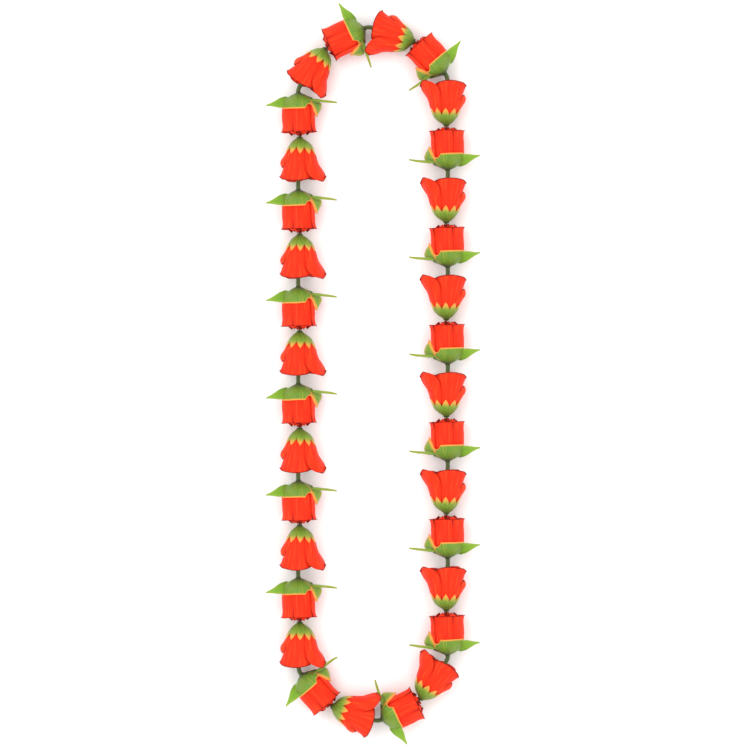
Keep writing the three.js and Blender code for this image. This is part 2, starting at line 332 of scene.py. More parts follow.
def mixed(tree, share, a, b):
    return add(tree, "ShaderNodeMix", {0: share, 6: a, 7: b}, data_type="RGBA").outputs[2]


SHADES_APART = 37.0


def grain_noise(tree, across, along, shade):
    """Noise stretched along the sheet; each sheet reads its own part of it, found from its shade."""
    uv = add(tree, "ShaderNodeUVMap", uv_map="grain").outputs[0]
    stretched = add(tree, "ShaderNodeMapping", {"Vector": uv, "Scale": (across, along, 1)}).outputs[0]
    own = vector(tree, Z=maths(tree, "MULTIPLY", shade, SHADES_APART))
    return noise(tree, vector_maths(tree, "ADD", stretched, own), 3.0)["Fac"]


ORANGE_RED = (0.83, 0.030, 0.007, 1)
LIGHT_STREAK = (0.92, 0.072, 0.014, 1)
DEEP_RED = (0.58, 0.010, 0.004, 1)
CRIMSON_RIM = (0.16, 0.006, 0.006, 1)
RIM_WIDTH = 1.1


def petal_finish():
    material, tree = new_finish(
        "rose_petal",
        Roughness=0.55,
        Sheen_Weight=0.03,
        Sheen_Roughness=0.4,
        Sheen_Tint=(1.0, 0.3, 0.2, 1),
        Specular_IOR_Level=0.1,
        Subsurface_Weight=0.12,
        Subsurface_Radius=(1.0, 0.25, 0.1),
        Subsurface_Scale=1.5 * MM,
    )
    shade = attribute(tree, "petal_shade")
    streaks = grain_noise(tree, 13.0, 1.5, shade)
    veins = grain_noise(tree, 60.0, 2.2, shade)
    colour = mixed(tree, ramped(tree, streaks, 0.5, 0.72), ORANGE_RED, LIGHT_STREAK)
    for mark, none, full, share in (
        (streaks, 0.46, 0.28, 0.4),
        (veins, 0.5, 0.3, 0.28),
        (shade, 0.4, 1.0, 0.12),
    ):
        colour = mixed(tree, ramped(tree, mark, none, full, share), colour, DEEP_RED)
    rim = ramped(tree, attribute(tree, "edge_mm"), RIM_WIDTH, 0.3)
    at_lip = ramped(tree, attribute(tree, "along"), 0.7, 0.95, bottom=0.18, top=0.88)
    colour = mixed(tree, maths(tree, "MULTIPLY", rim, at_lip), colour, CRIMSON_RIM)
    return close_finish(material, colour, veins, 0.2)


petal_red = petal_finish()

# %% [markdown]
# ## The finish of the greens
# A rose's sepals are leaf green with a fine lengthwise grain, and turn yellow and then orange towards their
# edges and tips, where they are thinnest. Near the stem they are darker. Again the distance to the edge and the
# way along the sheet carry the colours. Some sepals are painted lighter or darker than the others: painted
# light on the broad one, which is tilted away from the lamps, and painted shade on the front one, which faces
# them.


# %% Greens finish
LEAF_GREEN = (0.108, 0.250, 0.017, 1)
YELLOW_GREEN = (0.31, 0.37, 0.025, 1)
PAINTED_LIGHT_GREEN = (0.25, 0.52, 0.038, 1)
PAINTED_SHADE_GREEN = (0.10, 0.19, 0.008, 1)
ORANGE_TIP = (0.80, 0.31, 0.045, 1)
STEM_GREEN = (0.052, 0.092, 0.021, 1)
STEM_LIGHT = (0.135, 0.19, 0.042, 1)
STEM_BROWN = (0.085, 0.045, 0.022, 1)


def greens_finish():
    material, tree = new_finish(
        "sepal_green",
        Roughness=0.48,
        Sheen_Weight=0.1,
        Specular_IOR_Level=0.35,
        Subsurface_Weight=0.06,
        Subsurface_Radius=(0.4, 1.0, 0.15),
        Subsurface_Scale=1.0 * MM,
    )
    shade = attribute(tree, "petal_shade")
    along = attribute(tree, "along")
    edge = attribute(tree, "edge_mm")
    grain = grain_noise(tree, 26.0, 1.6, shade)
    colour = mixed(tree, ramped(tree, grain, 0.42, 0.7), LEAF_GREEN, YELLOW_GREEN)
    free = ramped(tree, along, 0.3, 0.75)
    near_edge = maths(tree, "MULTIPLY", ramped(tree, edge, 1.6, 0.3, 0.75), free)
    colour = mixed(tree, near_edge, colour, YELLOW_GREEN)
    # A mix takes a share below 0 as 0, so each sepal takes only one of these two greens: painted light above 0,
    # painted shade below it.
    tone = attribute(tree, "tone")
    colour = mixed(tree, tone, colour, PAINTED_LIGHT_GREEN)
    colour = mixed(tree, maths(tree, "MULTIPLY", tone, -1.0), colour, PAINTED_SHADE_GREEN)
    turning = maths(tree, "MULTIPLY", attribute(tree, "tip_colour"), free)
    tip = maths(tree, "MULTIPLY", ramped(tree, edge, 1.25, 0.15), turning)
    colour = mixed(tree, tip, colour, ORANGE_TIP)
    colour = mixed(tree, ramped(tree, along, 0.2, 0.0), colour, STEM_GREEN)
    return close_finish(material, colour, grain, 0.25)


def fibre_noise(tree, per_metre, per_turn, detail):
    """Noise on a swept piece, from how far along its path and how far round it a point is."""
    run = maths(tree, "MULTIPLY", attribute(tree, "run"), per_metre)
    around = maths(tree, "MULTIPLY", attribute(tree, "around"), per_turn)
    return noise(tree, vector(tree, X=run, Y=around), detail)["Fac"]


def stem_finish():
    material, tree = new_finish("stem_green", Roughness=0.5, Specular_IOR_Level=0.35)
    lines = fibre_noise(tree, 300.0, 22.0, 3.0)
    colour = mixed(tree, ramped(tree, lines, 0.4, 0.72), STEM_GREEN, STEM_LIGHT)
    colour = mixed(tree, ramped(tree, lines, 0.42, 0.25, 0.6), colour, STEM_BROWN)
    return close_finish(material, colour, lines, 0.2)


sepal_green = greens_finish()
stem_green = stem_finish()

# %% [markdown]
# ## A whorl
# Petals, sepals and the teeth of a calyx stand in rings round the bloom's axis. One tree repeats a sheet round
# that axis; a sheet unlike its neighbours is a ring of one. Real petals never stand quite evenly, so a fixed
# seed gives each a little play in its turn and its height, and a number that the finish reads as its shade.


# %% Whorl tree
SALTS = {"turn": 0, "height": 100, "shade": 200}


def whorl_tree():
    plays = {"turn_play": "Float", "height_play": "Float"}
    tree, given = new_tree("whorl", count="Int", first_angle="Float", **plays, seed="Int", finish="Material")
    line = add(tree, "GeometryNodeMeshLine", {"Count": given["Count"], "Offset": (0, 0, 0)})
    index = add(tree, "GeometryNodeInputIndex").outputs[0]

    def random(low, high, use):
        seed = maths(tree, "ADD", given["Seed"], SALTS[use])
        return add(tree, "FunctionNodeRandomValue", {2: low, 3: high, "ID": index, "Seed": seed}).outputs[1]

    share = maths(tree, "DIVIDE", index, given["Count"])
    even = maths(tree, "ADD", maths(tree, "MULTIPLY", share, math.tau), given["First angle"])
    play = maths(tree, "MULTIPLY", random(-1.0, 1.0, "turn"), given["Turn play"])
    turn = vector(tree, Z=maths(tree, "ADD", even, play))
    ring = {"Points": line.outputs[0], "Instance": given["Geometry"], "Rotation": turn}
    copies = add(tree, "GeometryNodeInstanceOnPoints", ring).outputs[0]
    height = vector(tree, Z=maths(tree, "MULTIPLY", random(-1.0, 1.0, "height"), given["Height play"]))
    lifted = add(tree, "GeometryNodeTranslateInstances", {"Instances": copies, "Translation": height})
    shaded = marked(tree, lifted.outputs[0], "petal_shade", random(0.0, 1.0, "shade"), "INSTANCE")
    return close_tree(tree, shaded, given["Finish"])


whorl = whorl_tree()
PETAL_THICKNESS = 0.32


def grow(sheet_mesh, count, first, seed, finish, turn_play=0.0, height_play=0.0, thickness=PETAL_THICKNESS):
    """A whorl of one sheet; angles in degrees, lengths in millimetres."""
    thing = linked(sheet_mesh.name, sheet_mesh)
    plays = {"turn_play": math.radians(turn_play), "height_play": height_play * MM}
    set_tree(thing, whorl, count=count, first_angle=math.radians(first), **plays, seed=seed, finish=finish)
    walls = thing.modifiers.new("thickness", "SOLIDIFY")
    walls.thickness = thickness * MM
    walls.offset = 0.0
    return made_plain(thing)


# %% [markdown]
# ## A petal
# A petal starts from a narrow claw, wraps round the bloom and ends in a lip that is round, pointed or rolled.
# Each of these is a term that grows towards the lip. One edge leans out and the other in, so that each petal
# laps over its neighbour. An edge may also drop inwards, so that a petal pulled out on one side still joins the
# bloom on the other, and a petal's middle may bulge. A faint crease runs up the middle, as on a real petal.

# %% Petal sheet
CREASE_DEPTH = 0.12
CREASE_WIDTH = 0.16
RUFFLE_WAVES = 4.5
LIP_WAVES = 7
LIP_RUFFLE = 0.35
POINT_SHARPNESS = 1.7
ROLL_AT_MIDDLE = 0.4


def table(keys, *numbers):
    """A sheet's rows from root to tip, under their keys; numbers left out at a row's end are 0."""
    return [dict(zip(keys.split(), row)) for row in numbers]


def petal(name, rows, across=13, up=18, corner=1.0, point=0.0, ruffle=0.0, phase=0.0, roll=0.0):
    """A row's span is half the angle it takes, its lean sets one edge out, and its crown lifts its middle."""
    keys = ("s", "r", "span", "lean", "crown", "swing", "drop", "bulge")
    length, along, (s, r, span, lean, crown, swing, drop, bulge) = row_curves(rows, keys, up)
    x = columns_across(across)
    near_lip = along**5
    aside = np.abs(x)
    middle = 1 - x**2
    r = r + lean * x + ruffle * along**3 * np.sin(RUFFLE_WAVES * x + phase)
    r = r + roll * near_lip * (ROLL_AT_MIDDLE + aside)
    r = r + bulge * middle - drop * np.clip(x, 0, None) ** 2
    r = r - CREASE_DEPTH * along * np.exp(-((x / CREASE_WIDTH) ** 2))
    s = s + crown * middle - corner * near_lip * aside**5
    s = s + point * near_lip * np.clip(1 - POINT_SHARPNESS * aside, 0, None)
    s = s + LIP_RUFFLE * ruffle * near_lip * np.cos(LIP_WAVES * x + phase)
    side = (1 - aside) * np.radians(span) * r
    edge = np.minimum(side, (1 - along) * length)
    return sheet(name, polar(swing + x * span, r, s), edge, along)


def petals(name, rows, count, first, seed, plays, **shape):
    """A whorl of one petal; the plays are in degrees round the bloom and in millimetres along it."""
    mesh = petal(name, table("s r span lean crown", *rows), **shape)
    return grow(mesh, count, first, seed, petal_red, *plays)


# %% [markdown]
# ## The rosebud
# The bud's five outer petals stand like the staves of a barrel, with a lip that turns out. Inside them stand
# pointed petals that show at the mouth, then tighter and tighter rolls round the string. Each of the five
# whorls repeats one petal, whose rows are given from claw to lip: height, radius, span, lean and crown.

# %% Grow the rosebud
bud_petals = [
    petals("bud_stave", [
        (4.3, 4.6, 39),
        (6.0, 7.9, 39),
        (8.2, 9.8, 39, 0.3),
        (12.0, 10.4, 40, 0.35),
        (18.0, 10.5, 40, 0.35),
        (22.0, 10.4, 40, 0.35),
        (24.3, 10.8, 39, 0.35, 0.2),
        (25.4, 11.3, 38, 0.3, 0.3),
        (25.3, 11.7, 37, 0.3, 0.3),
    ], count=5, first=0, seed=11, plays=(1.0, 0.15), corner=-0.2, ruffle=0.12, phase=0.8, roll=0.1),
    petals("bud_pointed", [
        (5.6, 5.2, 33),
        (8.0, 8.6, 34, 0.3),
        (14.0, 9.1, 37, 0.4),
        (21.0, 9.0, 38, 0.4),
        (25.0, 7.6, 31, 0.3, 0.4),
        (27.0, 5.3, 17, 0.1, 0.4),
    ], count=5, first=57, seed=12, plays=(2.0, 0.25), across=15, up=15, corner=0.9, point=0.2),
    petals("bud_inner", [
        (7.0, 4.4, 34),
        (12.0, 7.2, 38, 0.4),
        (20.0, 7.4, 40, 0.5),
        (24.4, 6.6, 37, 0.4),
        (25.9, 5.6, 28, 0.2, 0.4),
    ], count=5, first=20, seed=13, plays=(5.0, 0.3), up=11, corner=0.9),
    petals("bud_rolled", [
        (9.0, 3.4, 50),
        (18.0, 5.4, 62, 0.45),
        (24.0, 5.0, 58, 0.45),
        (26.2, 4.3, 50, 0.3, 0.5),
    ], count=4, first=80, seed=14, plays=(9.0, 0.3), up=10, corner=0.8),
    petals("bud_heart", [
        (12.0, 2.6, 64),
        (20.0, 3.4, 80, 0.4),
        (24.5, 2.7, 74, 0.3),
        (27.8, 1.5, 56, 0.15, 0.4),
    ], count=3, first=10, seed=15, plays=(8.0, 0.3), across=9, up=9, corner=0.8),
]
rosebud_form = joined("rosebud_form", bud_petals)
print("rosebud faces", len(rosebud_form.data.polygons))

# %% [markdown]
# ## The open rose's outer petals
# The outer petals of an open rose all differ. One is a big lobe that hangs out over the inner side of the loop,
# one is short and folded back on the outer side, with its neighbours lapping behind it, and the rest stand tall
# and roll their lips back. All five start from the same claw.

# %% Grow the outer petals
CLAW_SPAN = 36
CLAW = table("s r span", (6.2, 5.5, 34), (7.4, 7.4, 35))
BASE = {"s": 9.6, "r": 8.8, "span": CLAW_SPAN, "lean": 0.25}


def tall_petal(name, swing, span, phase, flare=0.0, shorter=0.0, bulge=0.0):
    """A petal that stands as tall as the bloom; its far edge may flare, and its middle bulge."""
    own = []
    for s, r, lean, share, crown, flared in (
        (13.5, 10.2, 0.35, 0.35, 0, 0),
        (19.0, 10.8, 0.4, 0.7, 0, 0),
        (24.0, 11.0, 0.4, 1.0, 1.1, 0.6),
        (26.6, 11.5, 0.4, 1.0, 1.9, 1.0),
        (27.1, 12.0, 0.4, 0.95, 1.9, 1.0),
        (26.8, 12.3, 0.4, 0.85, 1.8, 1.0),
    ):
        own.append({
            "s": s - shorter * share, "r": r, "span": CLAW_SPAN + (span - CLAW_SPAN) * share, "lean": lean,
            "crown": crown, "swing": swing * share, "drop": -flare * flared, "bulge": bulge * share**2,
        })
    return petal(name, [*CLAW, BASE, *own], across=15, corner=0.9, ruffle=0.3, phase=phase, roll=0.15)


lobe = petal("rose_lobe", [*CLAW, {**BASE, "lean": 0.1}, *table(
    "s r span swing drop crown",
    (13.5, 10.6, 36),
    (17.5, 12.1, 36, 0, 0.6),
    (21.0, 14.4, 35, 0, 2.4),
    (24.0, 16.0, 33, -1, 3.9, 0.8),
    (26.5, 17.0, 26, -3, 4.4, 1.8),
    (27.0, 17.6, 21, -4, 4.1, 1.8),
)], across=17, up=20, corner=2.1, ruffle=0.3, phase=1.2)
folded = petal("rose_folded", [*CLAW, BASE, *table(
    "s r span bulge crown",
    (12.2, 10.3, 38),
    (13.8, 10.8, 39, 0.45),
    (15.8, 11.15, 40, 1.4, 0.2),
    (17.8, 11.4, 39, 1.4, 0.5),
    (19.2, 11.5, 36, 0.5, 0.8),
    (19.7, 11.5, 33, -0.1, 0.9),
)], corner=1.4, ruffle=0.12, phase=2.0)
outer_petals = {
    36: lobe,
    108: tall_petal("rose_tall_a", swing=-2, span=57, phase=0.4, flare=1.5, bulge=1.8),
    180: folded,
    252: tall_petal("rose_tall_b", swing=-8, span=43, phase=2.4),
    324: tall_petal("rose_tall_c", swing=-3, span=40, phase=4.0, shorter=1.5),
}
rose_petals = [
    grow(mesh, count=1, first=azimuth, seed=21 + n, finish=petal_red)
    for n, (azimuth, mesh) in enumerate(outer_petals.items())
]

# %% [markdown]
# ## The open rose's inner petals
# Inside the outer petals stand cupped ones in rings, tighter and tighter, so that the mouth is full when it is
# seen from its end.

# %% Grow the inner petals
rose_petals += [
    petals("rose_second", [
        (7.4, 6.4, 34),
        (9.6, 8.3, 35),
        (13.5, 9.6, 38, 0.3),
        (20.0, 10.0, 41, 0.35),
        (24.4, 10.2, 41, 0.35, 0.7),
        (25.8, 10.3, 38, 0.25, 1.0),
        (25.9, 10.5, 35, 0.2, 1.0),
    ], count=5, first=0, seed=31, plays=(3.0, 0.3), across=15, up=14, corner=0.8, ruffle=0.15, phase=1.0),
    petals("rose_third", [
        (9.0, 5.6, 34),
        (13.5, 7.9, 37, 0.35),
        (20.0, 8.6, 40, 0.45),
        (26.0, 8.9, 38, 0.45, 1.0),
    ], count=5, first=36, seed=32, plays=(4.0, 0.4), up=11, corner=0.9, ruffle=0.2, phase=2.2, roll=0.3),
    petals("rose_cupped", [
        (10.0, 4.6, 36),
        (16.0, 6.6, 39, 0.4),
        (25.2, 7.2, 40, 0.5, 0.8),
    ], count=5, first=5, seed=33, plays=(6.0, 0.5), up=10, ruffle=0.15, phase=3.1),
    petals("rose_inner", [
        (11.0, 3.6, 42),
        (17.0, 5.0, 48, 0.4),
        (24.4, 5.4, 48, 0.45, 0.8),
    ], count=5, first=40, seed=34, plays=(8.0, 0.5), across=11, up=9, ruffle=0.1),
    petals("rose_heart", [
        (12.0, 2.6, 60),
        (17.0, 3.4, 66, 0.35),
        (23.2, 3.6, 62, 0.4, 0.6),
    ], count=3, first=50, seed=35, plays=(8.0, 0.4), across=9, up=7),
]
open_rose_form = joined("open_rose_form", rose_petals)
print("open rose faces", len(open_rose_form.data.polygons))

# %% [markdown]
# ## The bud's calyx
# Under a rosebud sits a small round hip, from which five long sepals spread. In the lei each bud shows the same
# ones: a broad one outwards, a thin one inwards, one laid wide over the front, one curled over the inner side
# and one underneath. A sepal is a blade with a folded rib. Its root grows out of the hip and wraps round it, so
# the first rows of the sheet blend from an arc round the axis into the straight blade. The sepal over the front
# has a step in its edge, where a petal shows, and the curled one is orange on the side that faces the petals.

# %% Sepal sheet
ROOT = table("s r width", (0.7, 2.7, 3.4), (2.2, 5.8, 7.2))
ROOT_SPAN = 36
ROOT_LENGTH = 2.5
ROOT_BLEND = 4.5
STEP_PLACE = 0.58
STEP_WIDTH = 0.16
INNER_REACH = 1.8
ROOT_FLATTER = 0.04
FOLD = 0.4
FOLD_DOWN = 0.3
SHALLOWER = 0.4
WAVE = 0.15
WAVES_ACROSS = 3
WAVES_ALONG = 9


def smooth(share):
    """0 below 0, 1 above 1, with a soft start and end between."""
    share = np.clip(share, 0, 1)
    return share * share * (3 - 2 * share)


def coloured(mesh, tip_colour, tone=0.0):
    """Keeps how much orange the sheet's edges take, and its painted light, which below 0 is painted shade."""
    store(mesh, "tip_colour", tip_colour)
    store(mesh, "tone", tone)
    return mesh


def sepal(name, azimuth, rows, across=11, up=18, step=0.0, tip_colour=0.0, tip_side=0.0, tone=0.0):
    """A blade with a folded rib; one side may end a step lower, and one side take more orange."""
    keys = ("s", "r", "width", "twist", "swing", "flare", "hug")
    length, along, (s, r, width, twist, swing, flare, hug) = row_curves(ROOT + rows, keys, up)
    x = columns_across(across)
    s = s - step * along**2 * smooth((-x - STEP_PLACE) / STEP_WIDTH)
    turn, twist, flare = (np.radians(angle + 0 * x) for angle in (azimuth + swing, twist, flare))
    out = np.stack([np.cos(turn), np.sin(turn), 0 * turn], axis=-1)
    side = np.stack([-np.sin(turn), np.cos(turn), 0 * turn], axis=-1)
    upward = np.array([0, 0, 1])
    reach = side * (np.cos(twist) * np.cos(flare))[..., None] + upward * np.sin(twist)[..., None]
    reach = reach + out * np.sin(flare)[..., None]
    lifted = FOLD * along * (1 - np.abs(x)) + WAVE * along * np.sin(WAVES_ACROSS * x + WAVES_ALONG * along)
    blade = polar(azimuth + swing, r, s) + reach * (x * width / 2)[..., None]
    normal = out * np.cos(twist)[..., None] - upward * FOLD_DOWN * np.sin(twist)[..., None]
    blade = blade + normal * lifted[..., None]
    bent = polar(azimuth + swing + np.degrees(x * width / 2 / r), r + SHALLOWER * lifted, s)
    blade = blade * (1 - hug[..., None]) + bent * hug[..., None]
    wrapped = polar(azimuth + ROOT_SPAN * x, r * (1 - ROOT_FLATTER * x**2), s)
    share = smooth((along * length - ROOT_LENGTH) / ROOT_BLEND)[..., None]
    edge = np.minimum((1 - np.abs(x)) * width / 2, (1 - along) * length)
    edge = edge / (1 + INNER_REACH * tip_side * (1 + x))
    orange = np.broadcast_to(tip_colour * (1 + tip_side * x), edge.shape).ravel()
    return coloured(sheet(name, wrapped * (1 - share) + blade * share, edge, along), orange, tone)


# %% [markdown]
# The hip itself is turned on the bloom's axis, like a bead. Its profile is a short curve, swept round in steps
# and closed at the top, where the petals hide it.


# %% Turn the hip
FAR_FROM_EDGE = 9.0


def turned(name, profile, along, sides=20):
    """A closed solid of revolution through (radius, height) points; both its poles are on the axis."""
    azimuths = np.linspace(0, 360, sides, endpoint=False)
    points = [point for r, s in profile for point in polar(azimuths, r, s)]
    bottom, top = len(points), len(points) + 1
    points += [np.array([0, 0, profile[0][1]]), np.array([0, 0, profile[-1][1]])]
    last = (len(profile) - 1) * sides
    round_once = [(i, (i + 1) % sides) for i in range(sides)]
    faces = [(n + i, n + j, n + sides + j, n + sides + i) for n in range(0, last, sides) for i, j in round_once]
    for i, j in round_once:
        faces += [(bottom, j, i), (top, last + i, last + j)]
    mesh = bpy.data.meshes.new(name)
    mesh.from_pydata((np.array(points) * MM).tolist(), [], faces)
    store(mesh, "edge_mm", FAR_FROM_EDGE)
    store(mesh, "along", np.concatenate([np.repeat(np.linspace(*along, len(profile)), sides), along]))
    mesh.uv_layers.new(name="grain")
    mesh.shade_smooth()
    mesh.materials.append(sepal_green)
    return linked(name, mesh)


HIP_PROFILE = [(1.5, -0.6), (1.9, 0.1), (2.9, 0.6), (4.3, 1.3), (5.1, 2.1), (5.3, 3.0), (5.0, 3.8), (3.4, 4.6)]
hip = turned("hip", HIP_PROFILE, along=(0.0, 0.3))

# %% [markdown]
# Each sepal is a table of rows from its root to its tip: how high and how far out the row stands, how wide it
# is, and how far it is swung round the bloom, twisted about its own length, flared outwards, and laid against
# the bloom.

# %% Grow the sepals
SEPAL_THICKNESS = 0.4
# The broad sepal is painted lighter, a painted light, and the front one darker, a painted shade.
sepals = {
    "thin": {"azimuth": 36, "rows": table(
        "s r width swing twist hug",
        (3.7, 8.2, 8.6, 0, 0, 1),
        (5.6, 10.4, 6.0, -4, -30, 0.5),
        (5.6, 12.6, 2.8, -18, -55),
        (5.9, 15.8, 1.8, -29, -60),
        (6.5, 20.5, 1.6, -33, -60),
        (7.3, 25.3, 0.9, -33, -60),
    )},
    "broad": {"azimuth": 180, "tone": 0.5, "rows": table(
        "s r width swing twist",
        (5.2, 9.2, 7.2, -16, -55),
        (6.4, 12.6, 7.2, -23, -62),
        (7.2, 16.2, 5.0, -27, -62),
        (7.8, 20.2, 2.4, -29, -62),
        (8.3, 24.0, 0.7, -30, -60),
    )},
    "front": {"azimuth": 103, "tip_colour": 1.0, "tone": -0.4, "step": 2.7, "across": 25, "rows": table(
        "s r width hug",
        (3.9, 8.2, 15.6, 1),
        (6.3, 10.1, 22.2, 1),
        (8.9, 10.9, 25.0, 1),
        (10.6, 11.2, 24.8, 1),
    )},
    "under": {"azimuth": 252, "tip_colour": 0.6, "rows": table(
        "s r width swing hug",
        (4.4, 8.6, 8.0, -12, 1),
        (7.0, 10.4, 7.0, -15, 1),
        (11.0, 11.2, 4.4, -16, 1),
        (14.8, 11.3, 0.8, -16, 1),
    )},
    "curled": {"azimuth": 324, "tip_colour": 0.9, "tip_side": 0.9, "rows": table(
        "s r width swing flare",
        (4.4, 9.0, 10.4, 25),
        (7.0, 11.3, 10.8, 47, -30),
        (11.2, 12.0, 8.2, 43, -32),
        (15.9, 11.6, 1.4, 34, -20),
    )},
}
bud_greens = [hip]
for n, (kind, shape) in enumerate(sepals.items()):
    mesh = sepal(f"sepal_{kind}", **shape)
    bud_greens.append(grow(mesh, count=1, first=0, seed=41 + n, finish=sepal_green, thickness=SEPAL_THICKNESS))

# %% [markdown]
# ## The open rose's calyx
# The open rose sits in a small dome whose edge is cut into ten pointed teeth, with a shallow furrow between
# each two. All ten are the same gore of the dome, so one gore is made and the whorl tree repeats it. The gores'
# edges meet point for point.


# %% One gore of the toothed dome
TEETH = 10
NOTCH_HEIGHT = 6.5
TOOTH_HEIGHT = 11.2
TOOTH_SLOPE = 0.85
GORE_CROWN = 0.18
ORANGE_SHARE = 0.24
DOME_HEIGHTS = [0, 0.5, 1.3, 2.3, 4.3, 6.2, 8.2, 10.4, 11.2]
DOME_RADII = [1.5, 1.7, 2.5, 4.1, 6.4, 7.7, 8.7, 9.6, 9.9]


def gore(across=7, up=12):
    along = np.linspace(0, 1, up)[:, None]
    x = columns_across(across)
    top = NOTCH_HEIGHT + (TOOTH_HEIGHT - NOTCH_HEIGHT) * (1 - np.abs(x)) ** TOOTH_SLOPE
    s = top * along
    r = through(DOME_HEIGHTS, DOME_RADII, s) + GORE_CROWN * (1 - x**2) * along
    grid = polar(x * 180 / TEETH, r, s)
    return coloured(sheet("calyx_gore", grid, (TOOTH_HEIGHT - s) * ORANGE_SHARE, along), 1.0)


NECK_PROFILE = [(1.0, -0.5), (1.7, -0.3), (1.95, 0.4), (1.5, 1.2)]
rose_greens = [
    grow(gore(), count=TEETH, first=90, seed=51, finish=sepal_green, thickness=SEPAL_THICKNESS),
    turned("neck", NECK_PROFILE, along=(0.0, 0.0), sides=12),
]

# %% [markdown]
# ## Fine hairs
# Rose calyxes and stubs of stem carry short, stiff hairs. Hair curves would be lost when the model is exported,
# so a tree scatters slim three-sided spikes over the skin, with a fixed seed, and stands each on its face.


# %% Hair tree
HAIR_RADIUS = 0.05
HAIR_TILT = 0.6
HAIR_TURN = 6.3


def hair_tree():
    tree, given = new_tree("hairs", density="Float", length="Float", seed="Int", finish="Material")
    skin = {"Mesh": given["Geometry"], "Density": given["Density"], "Seed": given["Seed"]}
    spread = add(tree, "GeometryNodeDistributePointsOnFaces", skin)
    cone = {"Vertices": 3, "Radius Top": 0.0, "Radius Bottom": HAIR_RADIUS * MM, "Depth": given["Length"]}
    spike = add(tree, "GeometryNodeMeshCone", cone)
    least, most = (-HAIR_TILT, -HAIR_TILT, 0.0), (HAIR_TILT, HAIR_TILT, HAIR_TURN)
    tilt = add(tree, "FunctionNodeRandomValue", {0: least, 1: most}, data_type="FLOAT_VECTOR")
    turns = {"Rotation": spread.outputs["Rotation"], "Rotate By": tilt.outputs[0]}
    stand = add(tree, "FunctionNodeRotateRotation", turns, rotation_space="LOCAL")
    size = add(tree, "FunctionNodeRandomValue", {2: 0.5, 3: 1.0}).outputs[1]
    coat = {"Points": spread.outputs[0], "Instance": spike.outputs[0], "Rotation": stand.outputs[0]}
    placed = add(tree, "GeometryNodeInstanceOnPoints", {**coat, "Scale": size})
    return close_tree(tree, placed.outputs[0], given["Finish"])


hairs = hair_tree()


def with_hairs(name, things, finish, per_mm2, length, seed):
    """Joins the pieces and adds hairs of their own to them."""
    skin = joined(name, things)
    coat = linked(name + "_hairs", skin.data.copy())
    set_tree(coat, hairs, density=per_mm2 / MM**2, length=length * MM, seed=seed, finish=finish)
    made_plain(coat)
    print(name, "has", len(coat.data.polygons) // 4, "hairs")
    return joined(name, [skin, coat])


bud_calyx_form = with_hairs("bud_calyx_form", bud_greens, sepal_green, per_mm2=0.10, length=0.5, seed=61)
rose_calyx_form = with_hairs("rose_calyx_form", rose_greens, sepal_green, per_mm2=0.10, length=0.4, seed=62)

# %% [markdown]
# ## Threading
# The needle takes each bloom at its calyx tip and lays it on the string at its own heading. One tree does that
# for any of the forms above. The string doesn't pass quite through the middle of a bloom, so the tree sets the
# bloom aside above its calyx's foot. It also sways the free ends of the petals by a slow noise, with another
# seed for each bloom, and squeezes what would sink into the table softly against it.


# %% Threading tree
SQUEEZE = 0.8
CALYX_HEIGHT = 5.0
SWAYS_PER_METRE = 70.0


def threading_tree():
    sizes = {"heading": "Float", "tip": "Vector", "aside": "Float", "sway": "Float", "seed": "Float"}
    tree, given = new_tree("threading", **sizes, finish="Material")
    at = add(tree, "GeometryNodeInputPosition").outputs[0]
    own = vector(tree, X=given["Seed"], Y=given["Seed"])
    where = vector_maths(tree, "ADD", vector_maths(tree, "SCALE", at, SWAYS_PER_METRE), own)
    both_ways = vector_maths(tree, "SUBTRACT", noise(tree, where, 1.0)["Color"], (0.5, 0.5, 0.5))
    free = add(tree, "GeometryNodeInputNamedAttribute", {"Name": "along"}, data_type="FLOAT").outputs[0]
    reach = maths(tree, "MULTIPLY", maths(tree, "POWER", free, 2.0), given["Sway"])
    swayed = vector_maths(tree, "SCALE", both_ways, reach)
    # A place is read where it is used: z runs along the bloom here, and is the height once the bloom is laid.
    x, y, z = add(tree, "ShaderNodeSeparateXYZ", {0: at}).outputs
    aside = maths(tree, "MULTIPLY", ramped(tree, z, 0.0, CALYX_HEIGHT * MM), given["Aside"])
    offset = vector_maths(tree, "ADD", swayed, vector(tree, X=aside))
    bent = add(tree, "GeometryNodeSetPosition", {"Geometry": given["Geometry"], "Offset": offset})
    turn = vector(tree, X=math.pi / 2, Z=maths(tree, "MULTIPLY", given["Heading"], -1.0))
    lay = {"Geometry": bent.outputs[0], "Translation": given["Tip"], "Rotation": turn}
    laid = add(tree, "GeometryNodeTransform", lay)
    low = maths(tree, "MINIMUM", z, SQUEEZE * MM)
    depth = maths(tree, "SUBTRACT", maths(tree, "DIVIDE", low, SQUEEZE * MM), 1.0)
    squeezed = maths(tree, "MULTIPLY", maths(tree, "EXPONENT", depth), SQUEEZE * MM)
    rested = vector(tree, X=x, Y=y, Z=maths(tree, "MAXIMUM", z, squeezed))
    settled = add(tree, "GeometryNodeSetPosition", {"Geometry": laid.outputs[0], "Position": rested})
    return close_tree(tree, settled.outputs[0], given["Finish"])


threading = threading_tree()


def threaded(name, form, place, aside, sway, seed, finish):
    thing = linked(name, form.data.copy())
    where = {"heading": math.radians(place["heading"]), "tip": tuple(place["tip"]), "aside": aside * MM}
    set_tree(thing, threading, **where, sway=sway * MM, seed=float(seed), finish=finish)
    return made_plain(thing)


# %% [markdown]
# ## Cords and stems
# The string is three plies twisted together, and a stem is a rod with faint ridges. Both are one ridged section
# swept along a path, the string's with a twist. The plies could be modelled one by one, but one skin with three
# deep furrows looks the same at this size, and is closed.


